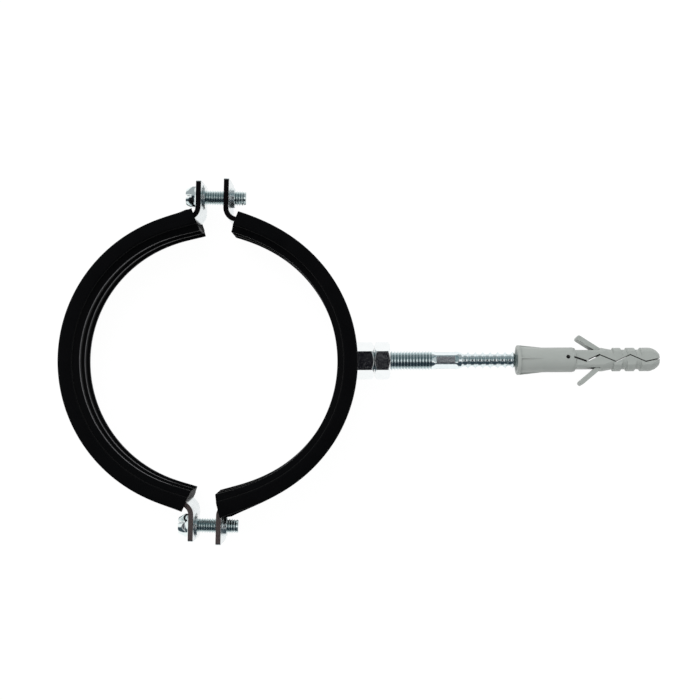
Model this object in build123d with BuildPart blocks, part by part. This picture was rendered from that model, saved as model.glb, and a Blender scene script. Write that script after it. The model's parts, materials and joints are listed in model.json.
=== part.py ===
from build123d import *
import math
import os

# Two-screw rubber lined pipe clamp on a hanger bolt, with the bolt's wall plug.
# Millimetres. The pipe runs along Z, the hanger bolt along +X, and the origin is
# the middle of the pipe seat. The fixed half is on the +X side, the free half
# on the -X side.

# Pipe seat and rubber lining
pipe_seat_radius = 51.0      # crests of the rubber ribs
rib_height = 1.1
rib_crest_width = 1.0
rib_root_width = 1.9
rib_spacing = 9.0            # one rib at the middle and one at each edge of the pad
pad_thickness = 4.1          # rubber under the band, between the ribs
pad_shoulder = 1.3           # from the pad's surface out to the side wall's inner face
lining_wall = 2.5            # side wall beyond the band's edge
lining_lip = 1.1             # lip over the band's outer face
lip_clearance = 0.3          # between the lips' inner edges and the weld nut
lining_edge_radius = 0.8
lining_end_angle = 8.0       # outer edge of a lining's end, from the split line
lining_end_slant = 2.5       # how much further round the inner edge of that end reaches
fixed_lining_slip = 2.2      # each lining sits a little clockwise of its band
free_lining_slip = 0.5

# Steel bands
band_thickness = 2.0
band_width = 20.0
ear_gap = 9.0                # between the inner faces of a pair of ears
ear_bend_inside_radius = 3.6
free_ear_height = 13.4       # from the band's outer face to the ear's end
fixed_ear_height = 14.5
ear_corner_radius = 1.0
split_roll = 1.65            # clockwise turn of the split line about the pipe's axis
collar_height = 1.5          # plunged and tapped collar on a fixed ear
collar_wall = 0.9

# Clamp screws and their retaining washers
screw_height = 8.0           # screw axis above the band's outer face
screw_diameter = 6.0
screw_length = 19.0          # under the head
screw_point_length = 1.2
screw_flange_diameter = 10.0
screw_flange_height = 1.2
screw_hex_across_flats = 8.0
screw_head_height = 5.0      # flange and hexagon together
screw_head_chamfer = 0.9
slot_width = 1.2
slot_depth = 1.6
cross_width = 1.3
cross_length = 4.4
cross_depth = 2.4
upper_screw_turn = 90.0      # how each head happens to stand about its axis
lower_screw_turn = 55.0
washer_diameter = 9.8
washer_thickness = 0.7
washer_gap = 0.1             # from the free ear's inner face
free_hole_clearance = 0.3    # radial
running_clearance = 0.05     # radial, every thread in its hole

# Weld nut and lock nut
rod_diameter = 7.9
nut_across_flats = 13.0
nut_face_diameter = 12.2     # flat end face inside the chamfer
nut_mouth_chamfer = 0.6
weld_nut_height = 7.3        # from the band's outer face, along the bolt
lock_nut_gap = 0.4
lock_nut_height = 6.2

# Hanger bolt
rod_end_gap = 0.3            # from the band's outer face
rod_end_chamfer = 0.9
machine_thread_length = 30.6
grip_across_flats = 5.9
grip_length = 10.8           # pressed hexagon with its two cones
grip_turn = 7.0              # hexagon turned about the bolt's axis
grip_cone_length = 1.6
wood_thread_diameter = 6.9   # over the crests
wood_thread_length = 31.7
wood_start_length = 1.0
wood_point_length = 6.4
wood_tip_radius = 0.4

# Wall plug
thread_in_plug = 14.8        # how much of the wood thread the plug covers
plug_turn = 8.0              # plug turned about the bolt's axis
plug_collar_diameter = 12.0
plug_collar_thickness = 1.3
plug_collar_edge = 0.3
plug_shank_diameter = 10.0
plug_root_diameter = 10.9    # under the collar
plug_taper_length = 10.0
plug_shank_length = 22.3
plug_shoulder_length = 1.0
plug_neck_diameter = 9.4
plug_neck_width = 7.0        # across its two flats
plug_neck_length = 9.8
plug_front_diameter = 9.5    # over the teeth
plug_groove_diameter = 8.0
plug_front_height = 7.9      # across the flats above and below the slit
plug_first_crest = 1.2
plug_first_ramp = 4.1
plug_teeth = [(5.5, 3.0), (10.9, 3.2), (16.5, 3.7)]    # steep face after the neck, crest
plug_tooth_face = 0.2
plug_tooth_ramp = 0.6
plug_nose_length = 4.0
plug_nose_radius = 2.5
plug_rib_length = 9.0
plug_rib_width = 0.6
plug_bore_depth = 16.8
plug_mouth_chamfer = 0.8
plug_channel_diameter = 3.4
plug_channel_cone = 6.0
plug_channel_end = 9.0       # solid nose beyond the channel
barb_length = 9.6
barb_thickness = 1.9
barb_width = 5.0
barb_root = (33.1, 3.3)      # from the collar's face, and from the axis
barb_angles = (33.5, 39.5)   # upper and lower barb, open towards the collar
relief_hole_diameter = 1.6
relief_hole_distance = 20.1
relief_hole_offset = 0.5
wide_slit = 0.75
narrow_slit = 0.42
slit_swing = 1.4
first_slit = [(22.5, 0.4), (24.1, 0.1), (27.7, -1.2)]    # short wide cut behind the web
second_slit_start = 28.4
slit_turns = [32.9, 39.4, 45.1, 51.3]    # alternate turns, the first one upwards

# Worked out from the sizes above
pad_radius = pipe_seat_radius + rib_height
band_inner_radius = pad_radius + pad_thickness
band_mid_radius = band_inner_radius + band_thickness / 2
band_outer_radius = band_inner_radius + band_thickness
lining_outer_radius = band_outer_radius + lining_lip
wall_inner_radius = pad_radius + pad_shoulder
lining_half_width = band_width / 2 + lining_wall
lip_inner_edge = nut_across_flats / 2 + lip_clearance
ear_middle = (ear_gap + band_thickness) / 2
bend_radius = ear_bend_inside_radius + band_thickness / 2
bend_centre_x = ear_middle + bend_radius
bend_centre_y = math.sqrt((band_mid_radius + bend_radius) ** 2 - bend_centre_x**2)
bend_sweep = math.degrees(math.atan2(bend_centre_y, bend_centre_x))
screw_y = band_outer_radius + screw_height
screw_seat = ear_gap / 2 + band_thickness
screw_radius = screw_diameter / 2
tapped_radius = screw_radius + running_clearance
rod_radius = rod_diameter / 2
nut_bore_radius = rod_radius + running_clearance
nut_corner_radius = nut_across_flats / math.sqrt(3)
rod_start = band_outer_radius + rod_end_gap
grip_start = rod_start + machine_thread_length
grip_end = grip_start + grip_length
wood_radius = wood_thread_diameter / 2
wood_end = grip_end + wood_thread_length + wood_point_length
plug_start = wood_end - thread_in_plug
neck_start = plug_start + plug_shank_length + plug_shoulder_length
front_start = neck_start + plug_neck_length
last_tooth_start, last_crest = plug_teeth[-1]
nose_start = front_start + last_tooth_start + last_crest
plug_end = nose_start + plug_nose_length

# Each half is drawn lying on the -X side of its own plane.
free_plane = Plane.XY.rotated((0, 0, -split_roll))
fixed_plane = Plane.XY.rotated((0, 0, 180 - split_roll))
plug_plane = Plane.XY.rotated((-plug_turn, 0, 0))


def ear_face(half_plane, distance):
    """Plane across a half's ears, with its x along the ears and its z towards the other half."""
    origin = half_plane.from_local_coords(Vector(-distance, 0, 0))
    return Plane(origin, x_dir=half_plane.y_dir, z_dir=half_plane.x_dir)


def half_band(half_plane, ear_height):
    """Half ring of strip steel, bent out into an ear at each end."""
    ear_end = band_outer_radius + ear_height
    with BuildPart() as band:
        with BuildSketch(half_plane):
            with BuildLine():
                upper_ear = Line((-ear_middle, ear_end), (-ear_middle, bend_centre_y))
                upper_bend = JernArc(upper_ear @ 1, upper_ear % 1, bend_radius, -bend_sweep)
                ring = JernArc(upper_bend @ 1, upper_bend % 1, band_mid_radius, 2 * bend_sweep)
                lower_bend = JernArc(ring @ 1, ring % 1, bend_radius, -bend_sweep)
                Line(lower_bend @ 1, (-ear_middle, -ear_end))
            trace(line_width=band_thickness)
        extrude(amount=band_width / 2, both=True)
        with BuildSketch(ear_face(half_plane, 0)):
            RectangleRounded(2 * ear_end, band_width, ear_corner_radius)
        extrude(amount=lining_outer_radius, both=True, mode=Mode.INTERSECT)
    return band.part


def lining_end(angle, side):
    """Line along a lining's end, as points well inside and well outside of the rubber."""
    outer_angle = math.radians(angle)
    inner_angle = math.radians(angle - lining_end_slant)
    outer = Vector(-math.sin(outer_angle), side * math.cos(outer_angle)) * lining_outer_radius
    inner = Vector(-math.sin(inner_angle), side * math.cos(inner_angle)) * wall_inner_radius
    reach = (inner - outer) * 2
    return inner + reach, outer - reach


def half_lining(half_plane, slip, band):
    """C-section rubber strip round a half band, with three ribs on its pad."""
    groove_edge = band_width / 2
    rib_profile = []
    for centre in (-rib_spacing, 0, rib_spacing):
        rib_profile += [
            (pad_radius, centre - rib_root_width / 2),
            (pipe_seat_radius, centre - rib_crest_width / 2),
            (pipe_seat_radius, centre + rib_crest_width / 2),
            (pad_radius, centre + rib_root_width / 2),
        ]
    shoulder_edge = rib_spacing + rib_root_width / 2 + pad_shoulder / 2
    with BuildPart() as lining:
        with BuildSketch(Plane.XZ) as section:
            with BuildLine():
                Polyline(
                    (lining_outer_radius, -lining_half_width),
                    (wall_inner_radius, -lining_half_width),
                    (wall_inner_radius, -shoulder_edge),
                    *rib_profile,
                    (wall_inner_radius, shoulder_edge),
                    (wall_inner_radius, lining_half_width),
                    (lining_outer_radius, lining_half_width),
                    (lining_outer_radius, lip_inner_edge),
                    (band_outer_radius, lip_inner_edge),
                    (band_outer_radius, groove_edge),
                    (band_inner_radius, groove_edge),
                    (band_inner_radius, -groove_edge),
                    (band_outer_radius, -groove_edge),
                    (band_outer_radius, -lip_inner_edge),
                    (lining_outer_radius, -lip_inner_edge),
                    close=True,
                )
            make_face()
            edges = section.vertices().group_by(Axis.Y)
            fillet([*edges[0], *edges[-1]], radius=lining_edge_radius)
        revolve(axis=Axis.Z)
        upper_inner, upper_outer = lining_end(lining_end_angle - slip, 1)
        lower_inner, lower_outer = lining_end(lining_end_angle + slip, -1)
        far = -2 * lining_outer_radius
        with BuildSketch(half_plane):
            with BuildLine():
                Polyline(
                    upper_inner,
                    upper_outer,
                    (far, upper_outer.Y),
                    (far, lower_outer.Y),
                    lower_outer,
                    lower_inner,
                    close=True,
                )
            make_face()
        extrude(amount=lining_half_width, both=True, mode=Mode.INTERSECT)
        add(band, mode=Mode.SUBTRACT)
    return lining.part


def nut_chamfer(end_face_radius):
    """Length of the thirty degree cone from a nut's corners to its end face."""
    return (nut_corner_radius - end_face_radius) * math.tan(math.radians(30))


def hex_nut(start, height):
    """Hexagon round the bolt's axis with flats up and down, and a cone at its outer end."""
    face_radius = nut_face_diameter / 2
    with BuildPart() as nut:
        with BuildSketch(Plane.YZ.offset(start)):
            RegularPolygon(nut_across_flats / 2, 6, major_radius=False)
        extrude(amount=height)
        with BuildSketch(Plane.XY):
            with BuildLine():
                Polyline(
                    (start, 0),
                    (start, nut_corner_radius),
                    (start + height - nut_chamfer(face_radius), nut_corner_radius),
                    (start + height, face_radius),
                    (start + height, 0),
                    close=True,
                )
            make_face()
        revolve(axis=Axis.X, mode=Mode.INTERSECT)
        with BuildSketch(Plane.YZ.offset(start)):
            Circle(nut_bore_radius)
        extrude(amount=height, mode=Mode.SUBTRACT)
        mouth = nut.faces().sort_by(Axis.X)[-1].inner_wires()[0]
        chamfer(mouth.edges(), nut_mouth_chamfer)
    return nut.part


def clamp_screw(seat):
    """Hexagon flange screw with a slot and cross, seated on a plane that looks to its point."""
    axis = Axis(seat.origin, seat.z_dir)
    side = Plane(seat.origin, x_dir=seat.z_dir, z_dir=seat.x_dir)
    crown = seat.offset(-screw_head_height)
    corner = screw_hex_across_flats / math.sqrt(3)
    flange_radius = screw_flange_diameter / 2
    point_radius = screw_radius - screw_point_length / 2
    with BuildPart() as screw:
        with BuildSketch(crown):
            RegularPolygon(screw_hex_across_flats / 2, 6, major_radius=False)
        extrude(amount=screw_head_height)
        with BuildSketch(side):
            with BuildLine():
                Polyline(
                    (-screw_head_height, 0),
                    (-screw_head_height, corner - screw_head_chamfer),
                    (screw_head_chamfer - screw_head_height, corner),
                    (0, corner),
                    (0, 0),
                    close=True,
                )
            make_face()
        revolve(axis=axis, mode=Mode.INTERSECT)
        with BuildSketch(side):
            with BuildLine():
                Polyline(
                    (-screw_flange_height, 0),
                    (-screw_flange_height, flange_radius - screw_flange_height / 2),
                    (-screw_flange_height / 2, flange_radius),
                    (0, flange_radius),
                    (0, screw_radius),
                    (screw_length - screw_point_length, screw_radius),
                    (screw_length, point_radius),
                    (screw_length, 0),
                    close=True,
                )
            make_face()
        revolve(axis=axis)
        with BuildSketch(crown):
            Rectangle(slot_width, 3 * corner)
        extrude(amount=slot_depth, mode=Mode.SUBTRACT)
        with BuildSketch(crown):
            Rectangle(cross_width, cross_length)
            Rectangle(cross_length, cross_width)
        extrude(amount=cross_depth, mode=Mode.SUBTRACT)
    return screw.part


def retaining_washer(seat):
    """Thin washer that holds a screw in its free ear."""
    with BuildPart() as washer:
        with BuildSketch(seat.offset(band_thickness + washer_gap)):
            Circle(washer_diameter / 2)
            Circle(screw_radius, mode=Mode.SUBTRACT)
        extrude(amount=washer_thickness)
    return washer.part


def screw_seat_plane(side, turn):
    """Plane on the free ear's outer face at one screw, looking to the fixed half."""
    centre = free_plane.from_local_coords(Vector(-screw_seat, side * screw_y, 0))
    seat = Plane(centre, x_dir=free_plane.y_dir, z_dir=free_plane.x_dir)
    return Plane(seat.location * Rotation(0, 0, turn))


# Fixed half: band with plunged and tapped ears, its lining and the welded nut
with BuildPart() as fixed_band:
    add(half_band(fixed_plane, fixed_ear_height))
    with BuildSketch(ear_face(fixed_plane, screw_seat)):
        with Locations((screw_y, 0), (-screw_y, 0)):
            Circle(tapped_radius + collar_wall)
    extrude(amount=-collar_height)
    with BuildSketch(ear_face(fixed_plane, 0)):
        with Locations((screw_y, 0), (-screw_y, 0)):
            Circle(tapped_radius)
    extrude(amount=-screw_seat - collar_height, mode=Mode.SUBTRACT)

with BuildPart() as fixed_lining:
    add(half_lining(fixed_plane, fixed_lining_slip, half_band(fixed_plane, fixed_ear_height)))

with BuildPart() as weld_nut:
    saddle_depth = band_outer_radius - math.sqrt(band_outer_radius**2 - nut_corner_radius**2)
    add(hex_nut(band_outer_radius - saddle_depth, weld_nut_height + saddle_depth))
    with BuildSketch(Plane.XY):
        Circle(band_outer_radius)
    extrude(amount=nut_across_flats, both=True, mode=Mode.SUBTRACT)

# Free half: band with clearance holes, and its lining
with BuildPart() as free_band:
    add(half_band(free_plane, free_ear_height))
    with BuildSketch(ear_face(free_plane, 0)):
        with Locations((screw_y, 0), (-screw_y, 0)):
            Circle(screw_radius + free_hole_clearance)
    extrude(amount=-screw_seat, mode=Mode.SUBTRACT)

with BuildPart() as free_lining:
    add(half_lining(free_plane, free_lining_slip, half_band(free_plane, free_ear_height)))

# Clamp screws
upper_seat = screw_seat_plane(1, upper_screw_turn)
lower_seat = screw_seat_plane(-1, lower_screw_turn)

# Lock nut, with a cone at both ends
with BuildPart() as lock_nut:
    lock_start = band_outer_radius + weld_nut_height + lock_nut_gap
    add(hex_nut(lock_start, lock_nut_height))
    face_radius = nut_face_diameter / 2
    with BuildSketch(Plane.XY):
        with BuildLine():
            Polyline(
                (lock_start, 0),
                (lock_start, face_radius),
                (lock_start + nut_chamfer(face_radius), nut_corner_radius),
                (lock_start + lock_nut_height, nut_corner_radius),
                (lock_start + lock_nut_height, 0),
                close=True,
            )
        make_face()
    revolve(axis=Axis.X, mode=Mode.INTERSECT)
    inner_mouth = lock_nut.faces().sort_by(Axis.X)[0].inner_wires()[0]
    chamfer(inner_mouth.edges(), nut_mouth_chamfer)

# Hanger bolt: machine thread, pressed hexagonal grip, wood thread. Threads stand at
# their crests.
with BuildPart() as hanger_bolt:
    with BuildSketch(Plane.YZ.offset(grip_start)):
        RegularPolygon(grip_across_flats / 2, 6, major_radius=False, rotation=-grip_turn)
    extrude(amount=grip_length)
    with BuildSketch(Plane.XY):
        with BuildLine():
            Polyline(
                (rod_start, 0),
                (rod_start, rod_radius - rod_end_chamfer),
                (rod_start + rod_end_chamfer, rod_radius),
                (grip_start, rod_radius),
                (grip_start + grip_cone_length, grip_across_flats / 2),
                (grip_end, grip_across_flats / 2),
                (grip_end + wood_start_length, wood_radius),
                (grip_end + wood_thread_length, wood_radius),
                (wood_end, wood_tip_radius),
                (wood_end, 0),
                close=True,
            )
        make_face()
    revolve(axis=Axis.X)

# Wall plug: one moulding with a stepped nose, two barbs and a zigzag slit that lets
# its front open
with BuildPart() as wall_plug:
    collar_radius = plug_collar_diameter / 2
    shank_radius = plug_shank_diameter / 2
    neck_radius = plug_neck_diameter / 2
    tooth_radius = plug_front_diameter / 2
    groove_radius = plug_groove_diameter / 2
    tooth_profile = [(front_start + plug_first_crest, tooth_radius)]
    ramp = plug_first_ramp
    for tooth_start, crest in plug_teeth:
        previous_crest_end = tooth_profile[-1][0]
        tooth_x = front_start + tooth_start
        tooth_profile += [
            (previous_crest_end + ramp, groove_radius),
            (tooth_x, groove_radius),
            (tooth_x + plug_tooth_face, tooth_radius),
            (tooth_x + crest, tooth_radius),
        ]
        ramp = plug_tooth_ramp
    with BuildSketch(plug_plane):
        with BuildLine():
            outline = Polyline(
                (plug_end, 0),
                (plug_start, 0),
                (plug_start, collar_radius - plug_collar_edge),
                (plug_start + plug_collar_edge, collar_radius),
                (plug_start + plug_collar_thickness, collar_radius),
                (plug_start + plug_collar_thickness, plug_root_diameter / 2),
                (plug_start + plug_taper_length, shank_radius),
                (plug_start + plug_shank_length, shank_radius),
                (neck_start, neck_radius),
                (front_start, neck_radius),
                *tooth_profile,
            )
            nose = RadiusArc(outline @ 1, (plug_end, plug_nose_radius), plug_nose_length * 1.5)
            Line(nose @ 1, (plug_end, 0))
        make_face()
    revolve(axis=Axis.X)
    for turn in (0, 90, 180, 270):
        with BuildSketch(plug_plane.rotated((turn, 0, 0))):
            with BuildLine():
                Polyline(
                    (plug_start + plug_collar_thickness, 0),
                    (plug_start + plug_collar_thickness, collar_radius),
                    (plug_start + plug_collar_thickness + plug_rib_length, shank_radius),
                    (plug_start + plug_collar_thickness + plug_rib_length, 0),
                    close=True,
                )
            make_face()
        extrude(amount=plug_rib_width / 2, both=True)
    for side in (1, -1):
        with BuildSketch(plug_plane):
            with Locations((neck_start, side * plug_neck_width / 2)):
                pocket_align = (Align.MIN, Align.MIN if side > 0 else Align.MAX)
                Rectangle(plug_neck_length, neck_radius, align=pocket_align)
        extrude(amount=shank_radius, both=True, mode=Mode.SUBTRACT)
        with BuildSketch(plug_plane.offset(side * plug_front_height / 2)):
            with Locations((neck_start, 0)):
                flat_align = (Align.MIN, Align.CENTER)
                Rectangle(plug_end - neck_start, plug_shank_diameter, align=flat_align)
        extrude(amount=side * shank_radius, mode=Mode.SUBTRACT)
    for side, angle in zip((1, -1), barb_angles):
        root_x = plug_start + barb_root[0]
        root_y = side * barb_root[1]
        lean = math.radians(angle)
        middle_x = root_x - barb_length / 2 * math.cos(lean)
        middle_y = root_y + side * barb_length / 2 * math.sin(lean)
        with BuildSketch(plug_plane):
            with Locations((middle_x, middle_y)):
                SlotCenterToCenter(barb_length, barb_thickness, rotation=-side * angle)
        extrude(amount=barb_width / 2, both=True)
    bore_radius = wood_radius + running_clearance
    channel_radius = plug_channel_diameter / 2
    bore_end = plug_start + plug_bore_depth
    with BuildSketch(plug_plane):
        with BuildLine():
            Polyline(
                (plug_start, 0),
                (plug_start, bore_radius + plug_mouth_chamfer),
                (plug_start + plug_mouth_chamfer, bore_radius),
                (bore_end, bore_radius),
                (bore_end + plug_channel_cone, channel_radius),
                (plug_end - plug_channel_end, channel_radius),
                (plug_end - plug_channel_end, 0),
                close=True,
            )
        make_face()
    revolve(axis=Axis.X, mode=Mode.SUBTRACT)
    slit_swings = [slit_swing, -slit_swing, slit_swing, -slit_swing]
    second_slit = [
        (second_slit_start, -slit_swing / 2),
        *zip(slit_turns, slit_swings),
        (plug_end - plug_start + narrow_slit, 0),
    ]
    slits = ((first_slit, wide_slit), (second_slit[:2], wide_slit), (second_slit[1:], narrow_slit))
    for points, width in slits:
        upper_edge = [(plug_start + x, y + width / 2) for x, y in points]
        lower_edge = [(plug_start + x, y - width / 2) for x, y in reversed(points)]
        with BuildSketch(plug_plane):
            with BuildLine():
                Polyline(*upper_edge, *lower_edge, close=True)
            make_face()
            with Locations((plug_start + relief_hole_distance, relief_hole_offset)):
                Circle(relief_hole_diameter / 2)
        extrude(amount=collar_radius, both=True, mode=Mode.SUBTRACT)

pieces = {
    "fixed_band": fixed_band.part,
    "fixed_lining": fixed_lining.part,
    "weld_nut": weld_nut.part,
    "free_band": free_band.part,
    "free_lining": free_lining.part,
    "upper_screw": clamp_screw(upper_seat),
    "upper_washer": retaining_washer(upper_seat),
    "lower_screw": clamp_screw(lower_seat),
    "lower_washer": retaining_washer(lower_seat),
    "lock_nut": lock_nut.part,
    "hanger_bolt": hanger_bolt.part,
    "wall_plug": wall_plug.part,
}
os.makedirs("parts", exist_ok=True)
for name, piece in pieces.items():
    piece.label = name
    export_step(piece, f"parts/{name}.step")
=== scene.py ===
import json
import math
import bmesh
import bpy
from mathutils import Matrix, Vector

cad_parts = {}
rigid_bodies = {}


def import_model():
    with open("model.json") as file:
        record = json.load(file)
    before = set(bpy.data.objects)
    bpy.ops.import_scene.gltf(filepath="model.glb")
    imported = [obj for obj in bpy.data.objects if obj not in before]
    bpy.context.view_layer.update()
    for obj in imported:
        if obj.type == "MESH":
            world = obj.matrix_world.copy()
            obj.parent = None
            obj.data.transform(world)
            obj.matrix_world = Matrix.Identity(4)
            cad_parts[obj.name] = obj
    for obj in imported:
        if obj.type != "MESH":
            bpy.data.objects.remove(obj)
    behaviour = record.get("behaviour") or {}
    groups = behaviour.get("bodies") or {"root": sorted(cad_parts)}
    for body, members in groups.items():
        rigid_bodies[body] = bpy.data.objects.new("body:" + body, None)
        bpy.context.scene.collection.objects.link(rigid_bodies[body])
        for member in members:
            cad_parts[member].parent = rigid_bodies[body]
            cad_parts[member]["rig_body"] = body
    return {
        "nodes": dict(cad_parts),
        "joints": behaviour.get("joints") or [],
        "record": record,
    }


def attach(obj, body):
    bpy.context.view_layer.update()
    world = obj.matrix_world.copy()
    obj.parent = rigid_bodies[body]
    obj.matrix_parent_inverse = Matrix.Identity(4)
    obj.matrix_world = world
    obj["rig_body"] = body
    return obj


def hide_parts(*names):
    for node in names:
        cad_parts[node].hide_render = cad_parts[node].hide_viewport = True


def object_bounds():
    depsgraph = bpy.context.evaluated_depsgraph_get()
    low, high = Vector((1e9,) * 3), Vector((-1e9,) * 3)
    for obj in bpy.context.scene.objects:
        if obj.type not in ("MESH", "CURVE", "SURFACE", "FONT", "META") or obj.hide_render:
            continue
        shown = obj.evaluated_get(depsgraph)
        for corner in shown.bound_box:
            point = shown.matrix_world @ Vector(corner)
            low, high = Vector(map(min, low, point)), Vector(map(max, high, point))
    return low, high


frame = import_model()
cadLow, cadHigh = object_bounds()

# Two-screw rubber lined pipe clamp on a hanger bolt, lying on a white table.
# The frame is in metres. Sizes here are in millimetres, and mm turns them to metres.
mm = 0.001
joints = {joint["name"]: joint for joint in frame["joints"]}
mounts = {mount["name"]: mount for mount in frame["record"]["mounts"]}


def linearColour(hexColour):
    values = [int(hexColour[i:i + 2], 16) / 255 for i in (1, 3, 5)]
    return [v / 12.92 if v < 0.04045 else ((v + 0.055) / 1.055) ** 2.4 for v in values] + [1]


def addNode(tree, kind, inputs=None, **settings):
    node = tree.nodes.new(kind)
    for name, value in settings.items():
        setattr(node, name, value)
    for name, value in (inputs or {}).items():
        if isinstance(value, bpy.types.NodeSocket):
            tree.links.new(value, node.inputs[name])
        else:
            node.inputs[name].default_value = value
    return node


def emptyMaterial(name):
    material = bpy.data.materials.new(name)
    material.use_nodes = True
    material.node_tree.nodes.clear()
    return material, material.node_tree


# Camera: nearly above the bolt's root, looking straight down
cameraSetup = {
    "height": 452.5,         # lens above the clamp's middle plane
    "place": (55.97, -6.89),
    "roll": -0.3,            # degrees
    "lens": 57.6,
    "sensor": 36.0,
    "shift": 0.04,           # of the sensor, upwards
}
cameraData = bpy.data.cameras.new("camera")
cameraData.lens = cameraSetup["lens"]
cameraData.sensor_width = cameraSetup["sensor"]
cameraData.shift_y = cameraSetup["shift"]
cameraData.clip_start = 0.01
cameraData.clip_end = 20
camera = bpy.data.objects.new("camera", cameraData)
camera.location = Vector((*cameraSetup["place"], cameraSetup["height"])) * mm
camera.rotation_euler.z = math.radians(cameraSetup["roll"])
bpy.context.scene.collection.objects.link(camera)
bpy.context.scene.camera = camera

# Studio: a white light tent over white paper. The lens looks in through a dark opening
# above, and a grey and a dark panel stand along the two long sides. Metal shows them:
# level faces go dark, steep ones white, and round bars get a dark band along each side.
# An edge is a height of the direction looked in: 0 is level and 1 is straight up.
tent = {
    "wall": "#ffffff",
    "lens": "#07080c",
    "lensEdge": (0.972, 0.983),
    "hood": "#37343d",       # dark rim round the lens
    "hoodEdge": (0.943, 0.960),
    "farLow": "#a6abad",     # panel on the +Y side, paler near the table
    "farHigh": "#6d8186",
    "farChange": (0.45, 0.75),
    "near": "#3b4850",       # panel on the -Y side
    "farShare": (-0.1, 0.1),            # Y of the direction, from the near panel to the far one
    "panelFoot": (-0.22, -0.08),
    "panelTop": (0.955, 0.90),
    "panelEnds": (12.0, 22.0),          # degrees from the bolt's direction
    "soft": 0.62,            # even light on matt surfaces
    "key": 2.2,              # soft lamp, watts
    "keySize": 500.0,
    "keyPlace": (-150.0, 420.0, 600.0),
}
plainWhite = linearColour("#ffffff")


def tentWalls(tree, direction):
    # Colour of the walls and the two panels in a direction, without the opening above
    part = addNode(tree, "ShaderNodeSeparateXYZ", {0: direction})
    along = addNode(tree, "ShaderNodeMath", {0: part.outputs["X"]}, operation="ABSOLUTE")
    across = addNode(tree, "ShaderNodeMath", {0: part.outputs["Y"]}, operation="ABSOLUTE")
    turn = addNode(tree, "ShaderNodeMath", {0: across.outputs[0], 1: along.outputs[0]},
                   operation="ARCTAN2")
    steps = {}
    for name, value, edges in (
        ("ends", turn.outputs[0], [math.radians(angle) for angle in tent["panelEnds"]]),
        ("foot", part.outputs["Z"], tent["panelFoot"]),
        ("top", part.outputs["Z"], tent["panelTop"]),
        ("high", part.outputs["Z"], tent["farChange"]),
        ("far", part.outputs["Y"], tent["farShare"]),
    ):
        steps[name] = addNode(tree, "ShaderNodeMapRange",
                              {"Value": value, "From Min": edges[0], "From Max": edges[1]},
                              interpolation_type="SMOOTHSTEP").outputs[0]
    height = addNode(tree, "ShaderNodeMath", {0: steps["foot"], 1: steps["top"]},
                     operation="MULTIPLY")
    panel = addNode(tree, "ShaderNodeMath", {0: height.outputs[0], 1: steps["ends"]},
                    operation="MULTIPLY")
    far = addNode(tree, "ShaderNodeMix", {0: steps["high"], 6: linearColour(tent["farLow"]),
                                          7: linearColour(tent["farHigh"])}, data_type="RGBA")
    panels = addNode(tree, "ShaderNodeMix", {0: steps["far"], 6: linearColour(tent["near"]),
                                             7: far.outputs[2]}, data_type="RGBA")
    return addNode(tree, "ShaderNodeMix", {0: panel.outputs[0], 6: linearColour(tent["wall"]),
                                           7: panels.outputs[2]}, data_type="RGBA").outputs[2]


# Table: white seamless paper, evenly lit, so that it shows as plain white. Seen at a flat
# angle in metal it gives way to the panels.
table = {
    "size": 4000.0,
    "paper": "#f2f2f2",
    "shadow": 0.08,          # share of the paper's real shading that shows
    "glow": 1.05,            # brings the unshaded paper to plain white
}


def whitePaper():
    material, tree = emptyMaterial("whitePaper")
    lit = addNode(tree, "ShaderNodeBsdfDiffuse", {"Color": linearColour(table["paper"])})
    path = addNode(tree, "ShaderNodeLightPath")
    place = addNode(tree, "ShaderNodeNewGeometry")
    onwards = addNode(tree, "ShaderNodeVectorMath", {0: place.outputs["Incoming"], "Scale": -1.0},
                      operation="SCALE")
    walls = tentWalls(tree, onwards.outputs[0])
    white = addNode(tree, "ShaderNodeMix", {0: path.outputs["Is Camera Ray"], 6: walls,
                                            7: plainWhite}, data_type="RGBA")
    glow = addNode(tree, "ShaderNodeEmission", {"Color": white.outputs[2], "Strength": table["glow"]})
    seen = addNode(tree, "ShaderNodeMixShader",
                   {0: 1 - table["shadow"], 1: lit.outputs[0], 2: glow.outputs[0]})
    mirrored = addNode(tree, "ShaderNodeMath",
                       {0: path.outputs["Is Glossy Ray"], 1: path.outputs["Is Transmission Ray"]},
                       operation="MAXIMUM")
    shown = addNode(tree, "ShaderNodeMath",
                    {0: path.outputs["Is Camera Ray"], 1: mirrored.outputs[0]}, operation="MAXIMUM")
    chosen = addNode(tree, "ShaderNodeMixShader",
                     {0: shown.outputs[0], 1: lit.outputs[0], 2: seen.outputs[0]})
    addNode(tree, "ShaderNodeOutputMaterial", {"Surface": chosen.outputs[0]})
    return material


half = table["size"] / 2 * mm
corners = [(x, y, cadLow.z) for x, y in ((-half, -half), (half, -half), (half, half), (-half, half))]
tableMesh = bpy.data.meshes.new("table")
tableMesh.from_pydata(corners, [], [(0, 1, 2, 3)])
tableMesh.materials.append(whitePaper())
tableTop = bpy.data.objects.new("table", tableMesh)
bpy.context.scene.collection.objects.link(tableTop)


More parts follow.
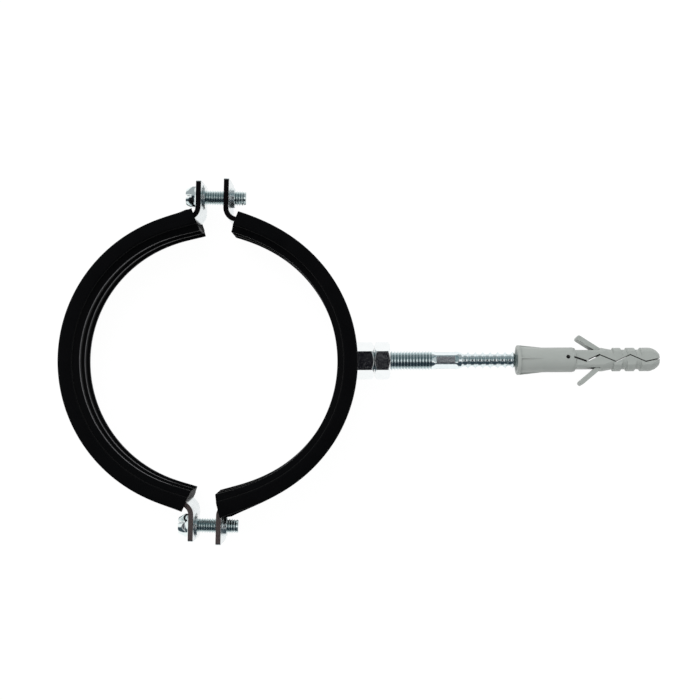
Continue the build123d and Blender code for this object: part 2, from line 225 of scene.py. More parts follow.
def lightTent():
    world = bpy.data.worlds.new("lightTent")
    world.use_nodes = True
    tree = world.node_tree
    tree.nodes.clear()
    direction = addNode(tree, "ShaderNodeTexCoord").outputs["Generated"]
    up = addNode(tree, "ShaderNodeSeparateXYZ", {0: direction}).outputs["Z"]
    seenInMetal = tentWalls(tree, direction)
    for name in ("hood", "lens"):
        low, high = tent[name + "Edge"]
        inside = addNode(tree, "ShaderNodeMapRange", {"Value": up, "From Min": low, "From Max": high},
                         interpolation_type="SMOOTHSTEP")
        seenInMetal = addNode(tree, "ShaderNodeMix", {0: inside.outputs[0], 6: seenInMetal,
                                                      7: linearColour(tent[name])},
                              data_type="RGBA").outputs[2]
    path = addNode(tree, "ShaderNodeLightPath")
    matt = addNode(tree, "ShaderNodeMix", {0: path.outputs["Is Glossy Ray"],
                                           6: (*[tent["soft"]] * 3, 1), 7: seenInMetal},
                   data_type="RGBA")
    shown = addNode(tree, "ShaderNodeMix", {0: path.outputs["Is Camera Ray"], 6: matt.outputs[2],
                                            7: plainWhite}, data_type="RGBA")
    light = addNode(tree, "ShaderNodeBackground", {"Color": shown.outputs[2]})
    addNode(tree, "ShaderNodeOutputWorld", {"Surface": light.outputs[0]})
    return world


bpy.context.scene.world = lightTent()
keyData = bpy.data.lights.new("keyLamp", "AREA")
keyData.energy = tent["key"]
keyData.size = tent["keySize"] * mm
key = bpy.data.objects.new("keyLamp", keyData)
key.location = Vector(tent["keyPlace"]) * mm
key.rotation_euler = (-key.location).to_track_quat("-Z", "Y").to_euler()
key.visible_glossy = False
bpy.context.scene.collection.objects.link(key)
bpy.context.scene.view_settings.view_transform = "Standard"
print("camera, table and light made")

# Finishes. Patterns, bumps and softened edges are sizes in millimetres, and a roughness
# is its range over the pattern.
zinc = {
    "grain": 0.30,           # crystals of the plating, drawn coarse enough to show
    "cloud": 1.8,
    "weldNut": {"colour": "#fafcfc", "shade": "#eef2f3", "roughness": (0.04, 0.10), "bump": 0.040,
                "edge": 0.15},
    "lockNut": {"colour": "#fafcfc", "shade": "#eef2f3", "roughness": (0.05, 0.12), "bump": 0.045,
                "edge": 0.15},
    "screw": {"colour": "#f4fbfa", "shade": "#e2eded", "roughness": (0.06, 0.16), "bump": 0.010,
              "edge": 0.04},
    "bolt": {"colour": "#f4fbfc", "shade": "#e2edf0", "roughness": (0.06, 0.16), "bump": 0.010,
             "edge": 0.04},
    "washer": {"colour": "#f4f7f7", "shade": "#e4e9e9", "roughness": (0.15, 0.28), "bump": 0.010,
               "edge": 0.12},
    "groove": "#a9b9bb",     # painted shade deep in the threads
}


def zincPlate(name):
    # Electroplated zinc on steel: a bright metal skin, faintly blue, with a fine cloudy
    # grain that breaks its reflections up and softens every edge
    look = zinc[name]
    material, tree = emptyMaterial("zincPlated" + name[0].upper() + name[1:])
    place = addNode(tree, "ShaderNodeTexCoord").outputs["Object"]
    cloud = addNode(tree, "ShaderNodeTexNoise", {"Vector": place, "Scale": 1 / (zinc["cloud"] * mm),
                                                 "Detail": 4.0, "Roughness": 0.6})
    crystal = addNode(tree, "ShaderNodeTexNoise", {"Vector": place, "Scale": 1 / (zinc["grain"] * mm),
                                                   "Detail": 3.0, "Roughness": 0.7})
    plate = addNode(tree, "ShaderNodeMix", {0: cloud.outputs["Fac"], 6: linearColour(look["colour"]),
                                            7: linearColour(look["shade"])}, data_type="RGBA")
    # painted shade: the groove attribute of a threaded piece darkens its thread grooves to this colour
    depth = addNode(tree, "ShaderNodeAttribute", attribute_name="groove")
    tone = addNode(tree, "ShaderNodeMix", {0: depth.outputs["Fac"], 6: plate.outputs[2],
                                           7: linearColour(zinc["groove"])}, data_type="RGBA")
    rough = addNode(tree, "ShaderNodeMapRange",
                    {"Value": crystal.outputs["Fac"], "From Min": 0.3, "From Max": 0.7,
                     "To Min": look["roughness"][0], "To Max": look["roughness"][1]})
    edge = addNode(tree, "ShaderNodeBevel", {"Radius": look["edge"] * mm}, samples=6)
    relief = addNode(tree, "ShaderNodeBump",
                     {"Height": crystal.outputs["Fac"], "Distance": look["bump"] * mm,
                      "Strength": 1.0, "Normal": edge.outputs[0]})
    skin = addNode(tree, "ShaderNodeBsdfPrincipled",
                   {"Base Color": tone.outputs[2], "Metallic": 1.0, "Roughness": rough.outputs[0],
                    "Normal": relief.outputs[0]})
    addNode(tree, "ShaderNodeOutputMaterial", {"Surface": skin.outputs[0]})
    return material


strip = {
    "face": "#f4f8f8",
    "shade": "#d8e0e2",
    "bareEdge": "#857775",   # cut edges of the lower ears
    "shadedCutEdge": "#1f1b1d",  # and of the upper ears, with painted shade that makes them nearly black
    "cutShadeChange": (-30.0, 30.0),       # Y from the one to the other
    "halfWidth": 10.0,
    "cutDepth": 0.4,         # how far in from its edges the strip can show the cut
    "cutLevel": (0.75, 0.95),           # how level a face has to lie to be a cut edge
    "roughness": (0.26, 0.42),          # face and cut edge
    "grain": 1.6,            # rolling lines, drawn coarse enough to show
    "grainStretch": 9,
    "cloud": 3.0,
    "bump": 0.02,
    "edge": 0.25,
}


def shearedStrip():
    # Zinc plated strip steel, rolled and then sheared: fine grain along the strip, and cut
    # edges that are duller and browner than the faces, those of the upper ears with painted shade
    material, tree = emptyMaterial("zincPlatedStrip")
    place = addNode(tree, "ShaderNodeTexCoord").outputs["Object"]
    along = addNode(tree, "ShaderNodeMapping", {"Vector": place, "Scale": (1, 1, strip["grainStretch"])})
    grain = addNode(tree, "ShaderNodeTexNoise",
                    {"Vector": along.outputs[0], "Scale": 1 / (strip["grain"] * mm),
                     "Detail": 5.0, "Roughness": 0.65})
    cloud = addNode(tree, "ShaderNodeTexNoise", {"Vector": place, "Scale": 1 / (strip["cloud"] * mm),
                                                 "Detail": 3.0})
    shape = addNode(tree, "ShaderNodeNewGeometry")
    facing = addNode(tree, "ShaderNodeSeparateXYZ", {0: shape.outputs["True Normal"]})
    level = addNode(tree, "ShaderNodeMath", {0: facing.outputs["Z"]}, operation="ABSOLUTE")
    spot = addNode(tree, "ShaderNodeSeparateXYZ", {0: place})
    fromMiddle = addNode(tree, "ShaderNodeMath", {0: spot.outputs["Z"]}, operation="ABSOLUTE")
    isEdge = addNode(tree, "ShaderNodeMath",
                     {0: fromMiddle.outputs[0], 1: (strip["halfWidth"] - strip["cutDepth"]) * mm},
                     operation="GREATER_THAN")
    isLevel = addNode(tree, "ShaderNodeMapRange",
                      {"Value": level.outputs[0], "From Min": strip["cutLevel"][0],
                       "From Max": strip["cutLevel"][1]})
    cut = addNode(tree, "ShaderNodeMath", {0: isLevel.outputs[0], 1: isEdge.outputs[0]},
                  operation="MULTIPLY")
    tone = addNode(tree, "ShaderNodeMix", {0: cloud.outputs["Fac"], 6: linearColour(strip["face"]),
                                           7: linearColour(strip["shade"])}, data_type="RGBA")
    # painted shade: the cut edges on the +Y side, the upper ears, turn nearly black
    cutShade = addNode(tree, "ShaderNodeMapRange",
                    {"Value": spot.outputs["Y"], "From Min": strip["cutShadeChange"][0] * mm,
                     "From Max": strip["cutShadeChange"][1] * mm})
    cutTone = addNode(tree, "ShaderNodeMix", {0: cutShade.outputs[0], 6: linearColour(strip["bareEdge"]),
                                              7: linearColour(strip["shadedCutEdge"])}, data_type="RGBA")
    colour = addNode(tree, "ShaderNodeMix", {0: cut.outputs[0], 6: tone.outputs[2],
                                             7: cutTone.outputs[2]}, data_type="RGBA")
    rough = addNode(tree, "ShaderNodeMapRange",
                    {"Value": cut.outputs[0], "To Min": strip["roughness"][0],
                     "To Max": strip["roughness"][1]})
    edge = addNode(tree, "ShaderNodeBevel", {"Radius": strip["edge"] * mm}, samples=6)
    relief = addNode(tree, "ShaderNodeBump",
                     {"Height": grain.outputs["Fac"], "Distance": strip["bump"] * mm,
                      "Strength": 1.0, "Normal": edge.outputs[0]})
    skin = addNode(tree, "ShaderNodeBsdfPrincipled",
                   {"Base Color": colour.outputs[2], "Metallic": 1.0, "Roughness": rough.outputs[0],
                    "Normal": relief.outputs[0]})
    addNode(tree, "ShaderNodeOutputMaterial", {"Surface": skin.outputs[0]})
    return material


epdm = {
    "colour": "#020203",
    "bloom": "#08080a",
    "crestHighlight": "#86868a",     # painted highlight along the rib crests
    "crestHighlightEdge": (51.12, 51.04),       # from the pipe's axis, where the painted highlight comes in
    "roughness": (0.48, 0.62),
    "specular": 0.07,
    "drag": 0.5,             # lines left by the die, drawn coarse enough to show
    "bloomSize": 7.0,
    "bump": 0.03,
}


def extrudedRubber():
    # EPDM rubber, extruded: near black with a very low sheen, faint drag lines along the
    # strip and a trace of grey bloom, and a painted highlight along the rib crests
    material, tree = emptyMaterial("extrudedEpdm")
    place = addNode(tree, "ShaderNodeTexCoord").outputs["Object"]
    part = addNode(tree, "ShaderNodeSeparateXYZ", {0: place})
    flat = addNode(tree, "ShaderNodeCombineXYZ", {"X": part.outputs["X"], "Y": part.outputs["Y"]})
    radius = addNode(tree, "ShaderNodeVectorMath", {0: flat.outputs[0]}, operation="LENGTH")
    section = addNode(tree, "ShaderNodeCombineXYZ",
                      {"X": radius.outputs["Value"], "Y": part.outputs["Z"]})
    lines = addNode(tree, "ShaderNodeTexNoise",
                    {"Vector": section.outputs[0], "Scale": 1 / (epdm["drag"] * mm),
                     "Detail": 3.0, "Roughness": 0.6})
    bloom = addNode(tree, "ShaderNodeTexNoise",
                    {"Vector": place, "Scale": 1 / (epdm["bloomSize"] * mm),
                     "Detail": 6.0, "Roughness": 0.65})
    dull = addNode(tree, "ShaderNodeMix", {0: bloom.outputs["Fac"], 6: linearColour(epdm["colour"]),
                                           7: linearColour(epdm["bloom"])}, data_type="RGBA")
    # painted highlight: a thin pale line on the rib crests, broken up by the bloom pattern
    crest = addNode(tree, "ShaderNodeMapRange",
                    {"Value": radius.outputs["Value"], "From Min": epdm["crestHighlightEdge"][0] * mm,
                     "From Max": epdm["crestHighlightEdge"][1] * mm})
    crestHighlight = addNode(tree, "ShaderNodeMath", {0: crest.outputs[0], 1: bloom.outputs["Fac"]},
                     operation="MULTIPLY")
    colour = addNode(tree, "ShaderNodeMix", {0: crestHighlight.outputs[0], 6: dull.outputs[2],
                                             7: linearColour(epdm["crestHighlight"])}, data_type="RGBA")
    rough = addNode(tree, "ShaderNodeMapRange",
                    {"Value": bloom.outputs["Fac"], "From Min": 0.3, "From Max": 0.7,
                     "To Min": epdm["roughness"][0], "To Max": epdm["roughness"][1]})
    relief = addNode(tree, "ShaderNodeBump", {"Height": lines.outputs["Fac"],
                                              "Distance": epdm["bump"] * mm, "Strength": 1.0})
    skin = addNode(tree, "ShaderNodeBsdfPrincipled",
                   {"Base Color": colour.outputs[2], "Roughness": rough.outputs[0],
                    "Specular IOR Level": epdm["specular"], "Normal": relief.outputs[0]})
    addNode(tree, "ShaderNodeOutputMaterial", {"Surface": skin.outputs[0]})
    return material


polyamide = {
    "colour": "#b2b7b3",
    "shade": "#aab0ac",
    "recessShade": "#1c1e1d",     # painted shade deep in the slits, the relief hole and other recesses
    "recessShadeReach": 2.0,
    "recessShadeEdge": (0.15, 0.65),         # openness, from the painted shade to the plain tone
    "roughness": 0.45,
    "ior": 1.53,
    "scatter": 0.15,
    "scatterRadius": 1.0,
    "scatterScale": 0.6,
    "cloud": 9.0,
    "texture": 0.4,          # spark eroded mould, drawn coarse enough to show
    "bump": 0.015,
    "edge": 0.3,
}


def mouldedNylon():
    # Nylon 6, injection moulded: pale grey, slightly waxy and translucent at thin edges, with
    # a fine mould texture, and painted shade that darkens its slits, holes and creases
    material, tree = emptyMaterial("mouldedNylon")
    place = addNode(tree, "ShaderNodeTexCoord").outputs["Object"]
    cloud = addNode(tree, "ShaderNodeTexNoise",
                    {"Vector": place, "Scale": 1 / (polyamide["cloud"] * mm), "Detail": 3.0})
    texture = addNode(tree, "ShaderNodeTexNoise",
                      {"Vector": place, "Scale": 1 / (polyamide["texture"] * mm), "Detail": 3.0})
    colour = addNode(tree, "ShaderNodeMix",
                     {0: cloud.outputs["Fac"], 6: linearColour(polyamide["colour"]),
                      7: linearColour(polyamide["shade"])}, data_type="RGBA")
    # painted shade: the colour goes dark where ambient occlusion finds the surface closed in
    openness = addNode(tree, "ShaderNodeAmbientOcclusion",
                       {"Distance": polyamide["recessShadeReach"] * mm}, samples=8, only_local=True)
    unshaded = addNode(tree, "ShaderNodeMapRange",
                      {"Value": openness.outputs["AO"], "From Min": polyamide["recessShadeEdge"][0],
                       "From Max": polyamide["recessShadeEdge"][1]})
    shaded = addNode(tree, "ShaderNodeMix",
                     {0: unshaded.outputs[0], 6: linearColour(polyamide["recessShade"]),
                      7: colour.outputs[2]}, data_type="RGBA")
    edge = addNode(tree, "ShaderNodeBevel", {"Radius": polyamide["edge"] * mm}, samples=8)
    relief = addNode(tree, "ShaderNodeBump",
                     {"Height": texture.outputs["Fac"], "Distance": polyamide["bump"] * mm,
                      "Strength": 1.0, "Normal": edge.outputs[0]})
    skin = addNode(tree, "ShaderNodeBsdfPrincipled",
                   {"Base Color": shaded.outputs[2], "Roughness": polyamide["roughness"],
                    "IOR": polyamide["ior"], "Subsurface Weight": polyamide["scatter"],
                    "Subsurface Radius": [polyamide["scatterRadius"] * mm] * 3,
                    "Subsurface Scale": polyamide["scatterScale"], "Normal": relief.outputs[0]})
    addNode(tree, "ShaderNodeOutputMaterial", {"Surface": skin.outputs[0]})
    return material


stripMetal = shearedStrip()
rubber = extrudedRubber()
nylon = mouldedNylon()
print("finishes made")


def addPiece(name, mesh, material, replaced, sharpAngle):
    piece = bpy.data.objects.new(name, mesh)
    bpy.context.scene.collection.objects.link(piece)
    mesh.materials.clear()
    mesh.materials.append(material)
    mesh.shade_smooth()
    mesh.set_sharp_from_angle(angle=math.radians(sharpAngle))
    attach(piece, frame["nodes"][replaced]["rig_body"])
    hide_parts(replaced)


def finishMesh(bm, name):
    # Welds points that meet and closes the open ends
    bmesh.ops.remove_doubles(bm, verts=bm.verts, dist=1e-4 * mm)
    loose = [edge for edge in bm.edges if edge.is_boundary]
    bmesh.ops.holes_fill(bm, edges=loose, sides=0)
    bmesh.ops.recalc_face_normals(bm, faces=bm.faces)
    mesh = bpy.data.meshes.new(name)
    bm.to_mesh(mesh)
    bm.free()
    return mesh


# Rubber lining: one C-shaped extrusion, cut to length and pressed over each half band.
# Radii are from the pipe's axis, widths from the clamp's middle plane, angles in degrees.
closing = joints["clamp_close"]["axis"]
lining = {
    "ribCrest": mounts["pipe_seat"]["dims"]["r_mm"],
    "pad": 52.1,
    "wallInner": 53.4,
    "bandInner": 56.2,
    "bandOuter": 58.2,
    "outer": 59.1,
    "halfWidth": 12.5,
    "grooveEdge": 10.0,
    "grooveRows": (0.2, 0.1),           # outer rows this far above and below the groove's edge
    "lipEdge": 6.8,
    "ribSpacing": 9.0,
    "ribCrestHalf": 0.5,
    "ribRootHalf": 0.95,
    "shoulder": 10.6,
    "edgeRadius": 0.8,
    "lipRadius": (0.35, 0.2),           # outside and against the band
    "shoulderRadius": 0.25,
    "ribRadius": (0.15, 0.2),           # root and crest
    "endAngle": 8.0,         # from the split line to the outer edge of an end
    "endSlant": {"fixed": 1.1, "free": 1.6},    # the inner edge reaches this much further
    "bendAngle": 9.9,        # the band leaves the lips here, to become an ear
    "slip": {"fixed": 2.2, "free": 0.6},        # each lining sits this much clockwise of its band
    "splitRoll": round(-math.degrees(math.atan2(closing[1], closing[0])), 2),
    "steps": 180,
    # How far each cut end springs outwards, over what length along the strip, and how much
    # of it the inner side shares. The first end is where the strip's angle starts.
    "spring": {
        "free": ((1.5, 5.0, 0.6), (1.1, 4.5, 0.7)),
        "fixed": ((2.9, 8.5, 0.6), (1.2, 10.0, 0.85)),
    },
}


def roundedOutline(points):
    # points are (radius, height, corner radius); each corner becomes an arc of four steps
    outline = []
    for i, (r, z, corner) in enumerate(points):
        here = Vector((r, z))
        if corner == 0:
            outline.append(here)
            continue
        before = Vector(points[i - 1][:2])
        after = Vector(points[(i + 1) % len(points)][:2])
        toBefore = (before - here).normalized()
        toAfter = (after - here).normalized()
        halfAngle = toBefore.angle(toAfter) / 2
        reach = corner / math.tan(halfAngle)
        start, end = here + toBefore * reach, here + toAfter * reach
        centre = here + (toBefore + toAfter).normalized() * (corner / math.sin(halfAngle))
        for step in range(5):
            spoke = (start.lerp(end, step / 4) - centre).normalized()
            outline.append(centre + spoke * corner)
    return outline


def mirrored(points):
    return [(r, -z, corner) for r, z, corner in reversed(points)]


def liningSection():
    size = lining
    rootRadius, crestRadius = size["ribRadius"]
    ribs = []
    for centre in (-size["ribSpacing"], 0, size["ribSpacing"]):
        ribs += [
            (size["pad"], centre - size["ribRootHalf"], rootRadius),
            (size["ribCrest"], centre - size["ribCrestHalf"], crestRadius),
            (size["ribCrest"], centre + size["ribCrestHalf"], crestRadius),
            (size["pad"], centre + size["ribRootHalf"], rootRadius),
        ]
    wall = [
        (size["wallInner"], size["shoulder"], size["shoulderRadius"]),
        (size["wallInner"], size["halfWidth"], size["edgeRadius"]),
        (size["outer"], size["halfWidth"], size["edgeRadius"]),
    ]
    above, below = size["grooveRows"]
    lipOutside, lipInside = size["lipRadius"]
    groove = [
        (size["outer"], size["grooveEdge"] + above, 0),
        (size["outer"], size["grooveEdge"] - below, 0),
        (size["outer"], size["lipEdge"], lipOutside),
        (size["bandOuter"], size["lipEdge"], lipInside),
        (size["bandOuter"], size["grooveEdge"], 0),
        (size["bandInner"], size["grooveEdge"], 0),
    ]
    return roundedOutline(mirrored(wall) + ribs + wall + groove + mirrored(groove))


def liningEnd(r, z, side, slip):
    # Angle from the split line at which one end of the extrusion stops
    slant = lining["endSlant"][side] * (lining["outer"] - r) / (lining["outer"] - lining["wallInner"])
    angle = lining["endAngle"] - slant + slip
    isLip = r > lining["bandOuter"] - 0.01 and abs(z) < lining["grooveEdge"] + 0.01
    return max(angle, lining["bendAngle"]) if isLip else angle


def endSpring(r, fromEnds, side):
    # Radius after the two ends have sprung outwards. fromEnds are angles to the two ends.
    height = (r - lining["ribCrest"]) / (lining["outer"] - lining["ribCrest"])
    for angle, (rise, length, innerShare) in zip(fromEnds, lining["spring"][side]):
        fade = math.exp(-math.radians(angle) * lining["outer"] / length)
        r += rise * fade * (innerShare + (1 - innerShare) * height)
    return r


def liningPiece(side, startAngle):
    # startAngle is where the half's split line points, and the half runs on from there
    section = liningSection()
    slip = lining["slip"][side]
    bm = bmesh.new()
    rings = []
    for step in range(lining["steps"] + 1):
        ring = []
        for r, z in section:
            first = startAngle + liningEnd(r, z, side, -slip)
            last = startAngle + 180 - liningEnd(r, z, side, slip)
            angle = first + (last - first) * step / lining["steps"]
            sprung = endSpring(r, (angle - first, last - angle), side)
            turned = math.radians(angle)
            place = Vector((sprung * math.cos(turned), sprung * math.sin(turned), z))
            ring.append(bm.verts.new(place * mm))
        rings.append(ring)
    for ring, following in zip(rings, rings[1:]):
        for i in range(len(ring)):
            bm.faces.new((ring[i - 1], ring[i], following[i], following[i - 1]))
    for ring in (rings[0], rings[-1]):
        bm.faces.new(ring)
    bmesh.ops.triangulate(bm, faces=[face for face in bm.faces if len(face.verts) > 4])
    name = side + "_lining_strip"
    addPiece(name, finishMesh(bm, name), rubber, side + "_lining", 35)


liningPiece("free", 90 - lining["splitRoll"])
liningPiece("fixed", 270 - lining["splitRoll"])
print("linings made")


def helicalRod(name, shape):
    # A closed rod along X whose rows climb as one screw. shape gives, for a number of turns,
    # the place along X, and for a place, turn and angle, the radius and a painted shade for
    # lying deep in a groove, from 0 to 1, kept as the groove attribute.
    rows, columns = shape["rows"], shape["columns"]
    bm = bmesh.new()
    groove = bm.verts.layers.float.new("groove")
    grid = []
    for row in range((shape["turns"] + 2) * rows + 1):
        ring = []
        for column in range(columns):
            turn = row / rows + column / columns - 1
            x = min(max(shape["place"](turn), shape["first"]), shape["last"])
            angle = 2 * math.pi * column / columns + shape["twist"]
            r, depth = shape["radius"](x, turn, angle)
            vertex = bm.verts.new(Vector((x, r * math.cos(angle), r * math.sin(angle))) * mm)
            vertex[groove] = depth
            ring.append(vertex)
        grid.append(ring)
    for row in range(len(grid) - rows - 1):
        for column in range(columns):
            if column < columns - 1:
                far = (grid[row + 1][column + 1], grid[row][column + 1])
            else:
                far = (grid[row + 1 + rows][0], grid[row + rows][0])
            bm.faces.new((grid[row][column], grid[row + 1][column], *far))
    used = {vertex for face in bm.faces for vertex in face.verts}
    unused = [vertex for vertex in bm.verts if vertex not in used]
    bmesh.ops.delete(bm, geom=unused, context="VERTS")
    return finishMesh(bm, name)


rolled = {
    "crestHalf": 0.18,       # half of the rounded crest, in pitches
    "slope": 3.18,           # thread depths that a flank falls in a pitch
}


def rolledProfile(turn):
    # 60 degree thread with a rounded crest and a narrow flat at the root, 0 to 1
    crestHalf, slope = rolled["crestHalf"], rolled["slope"]
    fromCrest = abs((turn % 1) - 0.5)
    if fromCrest < crestHalf:
        return 1 - slope * fromCrest ** 2 / (2 * crestHalf)
    return max(0.0, 1 - slope * (fromCrest - crestHalf / 2))


def ridgeProfile(turn, width):
    # Wood thread: a sharp ridge that runs out in a hollow trough
    fromCrest = abs((turn % 1) - 0.5) * 2
    return max(0.0, 1 - fromCrest / width) ** 2


def smooth(value, low, high):
    share = min(max((value - low) / (high - low), 0.0), 1.0)
    return share * share * (3 - 2 * share)


# Hanger bolt: rolled M8 thread, pressed hexagonal grip, rolled wood thread with a point.
# Places are from the pipe's axis. crest, root, body and core are radii.
bolt = {
    "start": 58.5,
    "machineEnd": 89.1,
    "gripEnd": 99.9,
    "woodTaper": 131.6,
    "point": 138.0,
    "pitch": 1.25,
    "crest": 3.95,
    "root": 3.27,
    "endChamfer": 0.9,
    "machineFade": (-0.6, 0.9),         # before the machine thread's end, as it comes in
    "gripFlats": 5.9,
    "gripTurn": -7.0,        # degrees
    "gripBody": 3.55,
    "runOut": 1.6,           # length at each end of the grip where a pressed flat climbs out
    "runOutSlope": 0.36,
    "blendTurns": 4,         # turns in which the pitch changes, where the grip hides it
    "woodPast": 3.0,         # the wood thread's rows start this far into the grip
    "woodPitch": 3.0,
    "woodCrest": 3.45,
    "woodCore": 2.45,
    "ridgeFade": (-1.0, 2.6),           # past the grip's end, as the ridge and core come in
    "coreFade": (-0.6, 2.2),
    "coreTaper": 1.02,       # the core reaches the tip a little before the ridge
    "ridgeWidth": 0.8,       # share of a pitch
    # painted shade in the wood thread's troughs, as a share of the full groove shade
    "woodShade": 0.35,
    "tip": 0.4,
    "rows": 24,
    "columns": 48,
}


def boltShape():
    size = bolt
    gripEnd, machineEnd = size["gripEnd"], size["machineEnd"]
    machineTurns = (machineEnd - size["start"]) / size["pitch"]
    blendTurns = size["blendTurns"]
    meanPitch = (size["pitch"] + size["woodPitch"]) / 2
    gripPlain = gripEnd - machineEnd - blendTurns * meanPitch
    plainTurns = gripPlain / size["woodPitch"]
    woodTurns = (size["point"] - gripEnd) / size["woodPitch"]

    def place(turn):
        if turn < machineTurns:
            return size["start"] + turn * size["pitch"]
        past = turn - machineTurns
        change = min(past, blendTurns)
        speedUp = (size["woodPitch"] - size["pitch"]) * change * change / (2 * blendTurns)
        plain = max(past - blendTurns, 0) * size["woodPitch"]
        return machineEnd + size["pitch"] * change + speedUp + plain

    def radius(x, turn, angle):
        depth = smooth(machineEnd - x, *size["machineFade"])
        root = size["root"] + (size["gripBody"] - size["root"]) * (1 - depth)
        machine = root + (size["crest"] - size["root"]) * rolledProfile(turn) * depth
        machine = min(machine, size["crest"] - size["endChamfer"] + (x - size["start"]))
        along = max(0.0, x - size["woodTaper"]) / (size["point"] - size["woodTaper"])
        crest = size["woodCrest"] + (size["tip"] - size["woodCrest"]) * along
        coreAlong = min(1.0, along * size["coreTaper"])
        core = size["woodCore"] + (size["tip"] - size["woodCore"]) * coreAlong
        ridge = ridgeProfile(turn, size["ridgeWidth"])
        grow = smooth(x, *(gripEnd + edge for edge in size["ridgeFade"]))
        shrink = smooth(x, *(gripEnd + edge for edge in size["coreFade"]))
        body = size["gripBody"] + (core - size["gripBody"]) * shrink
        wood = body + max(crest - body, 0) * ridge * grow
        rod = machine if x < machineEnd + size["woodPast"] else wood
        fromFlat = max(machineEnd + size["runOut"] - x, x - gripEnd + size["runOut"], 0)
        flat = size["gripFlats"] / 2 + fromFlat * size["runOutSlope"]
        toFlat = (angle - math.radians(size["gripTurn"])) % math.radians(60) - math.radians(30)
        # painted shade in the grooves, which the zinc finish reads as the groove attribute
        shaded = (1 - rolledProfile(turn)) * depth if x < machineEnd else 0
        shaded += size["woodShade"] * (1 - ridge) * grow
        return min(rod, flat / math.cos(toFlat)), shaded

    return {
        "rows": size["rows"], "columns": size["columns"], "place": place, "radius": radius,
        "turns": math.ceil(machineTurns + blendTurns + plainTurns + woodTurns),
        "first": size["start"], "last": size["point"], "twist": math.radians(size["gripTurn"]),
    }


boltMesh = helicalRod("hanger_bolt_threads", boltShape())
addPiece("hanger_bolt_threads", boltMesh, zincPlate("bolt"), "hanger_bolt", 60)
print("hanger bolt made")

# Nuts: cold formed, flats up and down, with a cone that takes the corners off each free end
nut = {
    "flats": 13.0,
    "bore": 4.0,             # radius
    "cone": 0.78,            # length of the cone for each millimetre of its radius
    "coneRows": 6,
    "columns": 96,
    "weld_nut": {"place": (57.3, 65.5), "coned": (False, True), "finish": "weldNut"},
    "lock_nut": {"place": (65.9, 72.1), "coned": (True, True), "finish": "lockNut"},
}


def nutPiece(node):
    start, end = nut[node]["place"]
    flat = nut["flats"] / 2
    corner = nut["flats"] / math.sqrt(3)
    rows, columns = nut["coneRows"], nut["columns"]
    coneSteps = [(corner - flat) * nut["cone"] * i / rows for i in range(rows + 1)]
    stations = [start + step for step in coneSteps] + [end - step for step in reversed(coneSteps)]
    bm = bmesh.new()
    rings = []
    for x, isBore in [(end, True), (start, True)] + [(x, False) for x in stations]:
        ring = []
        for column in range(columns):
            angle = 2 * math.pi * column / columns
            r = flat / math.cos(angle % math.radians(60) - math.radians(30))
            for coned, inwards in zip(nut[node]["coned"], (x - start, end - x)):
                r = min(r, flat + inwards / nut["cone"]) if coned else r
            r = nut["bore"] if isBore else r
            ring.append(bm.verts.new(Vector((x, r * math.cos(angle), r * math.sin(angle))) * mm))
        rings.append(ring)
    for ring, following in zip(rings, rings[1:] + rings[:1]):
        for i in range(columns):
            bm.faces.new((ring[i - 1], following[i - 1], following[i], ring[i]))
    name = node + "_cones"
    addPiece(name, finishMesh(bm, name), zincPlate(nut[node]["finish"]), node, 20)


nutPiece("weld_nut")
nutPiece("lock_nut")
print("nuts made")

# Clamp screws: flanged hexagon head with slot and cross, rolled M6 thread, peened point.
# Places run along the screw, from the free ear's outer face towards the point.
screw = {
    "seat": 6.5,             # that face, from the split line
    "axisHeight": round(Vector(joints["upper_screw_turn"]["pos_m"]).length / mm, 1),
    "headHeight": 5.0,
    "flats": 8.0,
    "crown": (1.3, 0.5),     # how far the cone cuts the corners back at the end, and its slope
    "crownRows": (-4.6, -4.2, -3.8, -3.4, -3.0),
    "flangeFoot": -1.8,      # the plain hexagon's last row
    "flange": ((-1.2, 4.4), (-0.9, 4.75), (-0.7, 4.93), (-0.45, 5.0), (-0.2, 4.93), (0.0, 4.7)),
    "headColumns": 72,
    "slot": (1.2, 2.5),      # width and depth; it runs across two corners
    "cross": (1.3, 4.4, 2.4),           # width, length and depth
    "cutClear": (1.0, 9.0),  # how far a cut starts before the head, and half the slot's length
    "soften": (0.12, 35.0),  # edges, and the angle in degrees from which they are softened
    "shankStart": -0.3,      # inside the head
    "length": 19.0,
    "pitch": 1.0,
    "crest": 3.0,
    "root": 2.42,
    "point": (1.2, 0.5),     # length and slope
    "peened": (2.6, 0.8),    # length at the point whose crests are flattened, and its fade
    "peenedShare": 0.75,     # of the thread's depth
    "peenedTurn": 0.6,       # radians
    "turn": {"upper": 90.0, "lower": 62.0},     # degrees
    "rows": 20,
    "columns": 40,
}


def cutBox(low, high):
    bm = bmesh.new()
    bmesh.ops.create_cube(bm, size=1.0)
    low, high = Vector(low), Vector(high)
    for vertex in bm.verts:
        fromMiddle = Vector(a * b for a, b in zip(vertex.co, high - low))
        vertex.co = ((low + high) / 2 + fromMiddle) * mm
    mesh = bpy.data.meshes.new("cut")
    bm.to_mesh(mesh)
    bm.free()
    cutter = bpy.data.objects.new("cut", mesh)
    bpy.context.scene.collection.objects.link(cutter)
    return cutter


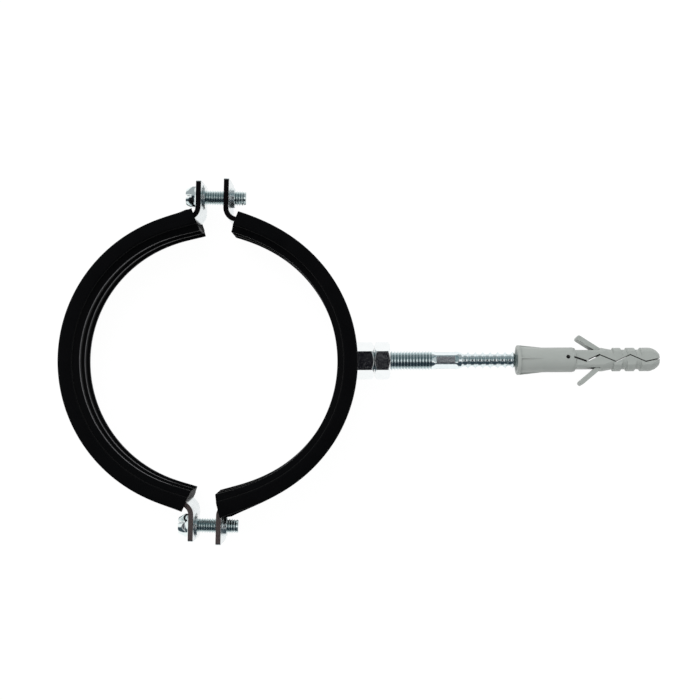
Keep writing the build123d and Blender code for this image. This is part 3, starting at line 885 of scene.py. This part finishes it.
def screwHead():
    size = screw
    top = -size["headHeight"]
    corner = size["flats"] / math.sqrt(3)
    columns = size["headColumns"]
    crownCut, crownSlope = size["crown"]
    plainRows = (top, *size["crownRows"], crownCut / crownSlope + top, size["flangeFoot"])
    bm = bmesh.new()
    rings = []
    for x, rim in [(x, 0) for x in plainRows] + list(size["flange"]):
        ring = []
        for column in range(columns):
            angle = 2 * math.pi * column / columns
            hexagon = size["flats"] / 2 / math.cos(angle % math.radians(60) - math.radians(30))
            crown = corner - crownCut + crownSlope * (x - top)
            r = max(min(hexagon, crown), rim)
            ring.append(bm.verts.new(Vector((x, r * math.cos(angle), r * math.sin(angle))) * mm))
        rings.append(ring)
    for ring, following in zip(rings, rings[1:]):
        for i in range(columns):
            bm.faces.new((ring[i - 1], following[i - 1], following[i], ring[i]))
    head = bpy.data.objects.new("head", finishMesh(bm, "head"))
    bpy.context.scene.collection.objects.link(head)
    clear, slotReach = size["cutClear"]
    slotHalf, slotDepth = size["slot"][0] / 2, size["slot"][1]
    crossWidth, crossLength, crossDepth = size["cross"]
    barHalf, barReach = crossWidth / 2, crossLength / 2
    cuts = [
        cutBox((top - clear, -slotReach, -slotHalf), (top + slotDepth, slotReach, slotHalf)),
        cutBox((top - clear, -barReach, -barHalf), (top + crossDepth, barReach, barHalf)),
        cutBox((top - clear, -barHalf, -barReach), (top + crossDepth, barHalf, barReach)),
    ]
    for cutter in cuts:
        difference = head.modifiers.new("cut", "BOOLEAN")
        difference.object = cutter
        difference.operation = "DIFFERENCE"
        difference.solver = "EXACT"
    soften = head.modifiers.new("soften", "BEVEL")
    soften.width = size["soften"][0] * mm
    soften.segments = 2
    soften.angle_limit = math.radians(size["soften"][1])
    done = bpy.data.meshes.new_from_object(head.evaluated_get(bpy.context.evaluated_depsgraph_get()))
    for spent in (head, *cuts):
        bpy.data.objects.remove(spent)
    return done


def shankRadius(x, turn, angle):
    size = screw
    pointLength, pointSlope = size["point"]
    crest = min(size["crest"],
                size["crest"] - pointLength * pointSlope - (x - size["length"]) * pointSlope)
    peened, fade = size["peened"]
    nearPoint = smooth(x, size["length"] - peened, size["length"] - peened + fade)
    blow = max(0.0, math.cos(2 * angle + size["peenedTurn"])) ** 2 * nearPoint
    height = rolledProfile(turn) * (1 - size["peenedShare"] * blow)
    # the second value is the painted shade in the grooves
    return min(crest, size["root"] + (size["crest"] - size["root"]) * height), 1 - height


def screwPiece(side, up):
    size = screw
    shank = helicalRod("shank", {
        "rows": size["rows"], "columns": size["columns"],
        "turns": math.ceil(size["length"] / size["pitch"]),
        "place": lambda turn: turn * size["pitch"], "radius": shankRadius,
        "first": size["shankStart"], "last": size["length"], "twist": 0.0,
    })
    bm = bmesh.new()
    bm.from_mesh(screwHead())
    bm.transform(Matrix.Rotation(math.radians(size["turn"][side]), 4, "X"))
    bm.from_mesh(shank)
    roll = Matrix.Rotation(math.radians(-lining["splitRoll"]), 4, "Z")
    bm.transform(roll @ Matrix.Translation(Vector((-size["seat"], up * size["axisHeight"], 0)) * mm))
    mesh = bpy.data.meshes.new(side + "_screw_threads")
    bm.to_mesh(mesh)
    bm.free()
    addPiece(side + "_screw_threads", mesh, screwMetal, side + "_screw", 38)


screwMetal = zincPlate("screw")
screwPiece("upper", 1)
screwPiece("lower", -1)
print("clamp screws made")

# Pieces whose solids are right as they are take their finish here
washerMetal = zincPlate("washer")
finishOf = {
    "fixed_band": stripMetal,
    "free_band": stripMetal,
    "upper_washer": washerMetal,
    "lower_washer": washerMetal,
    "wall_plug": nylon,
}
for node, material in finishOf.items():
    solid = frame["nodes"][node].data
    solid.materials.clear()
    solid.materials.append(material)
print("solids finished")
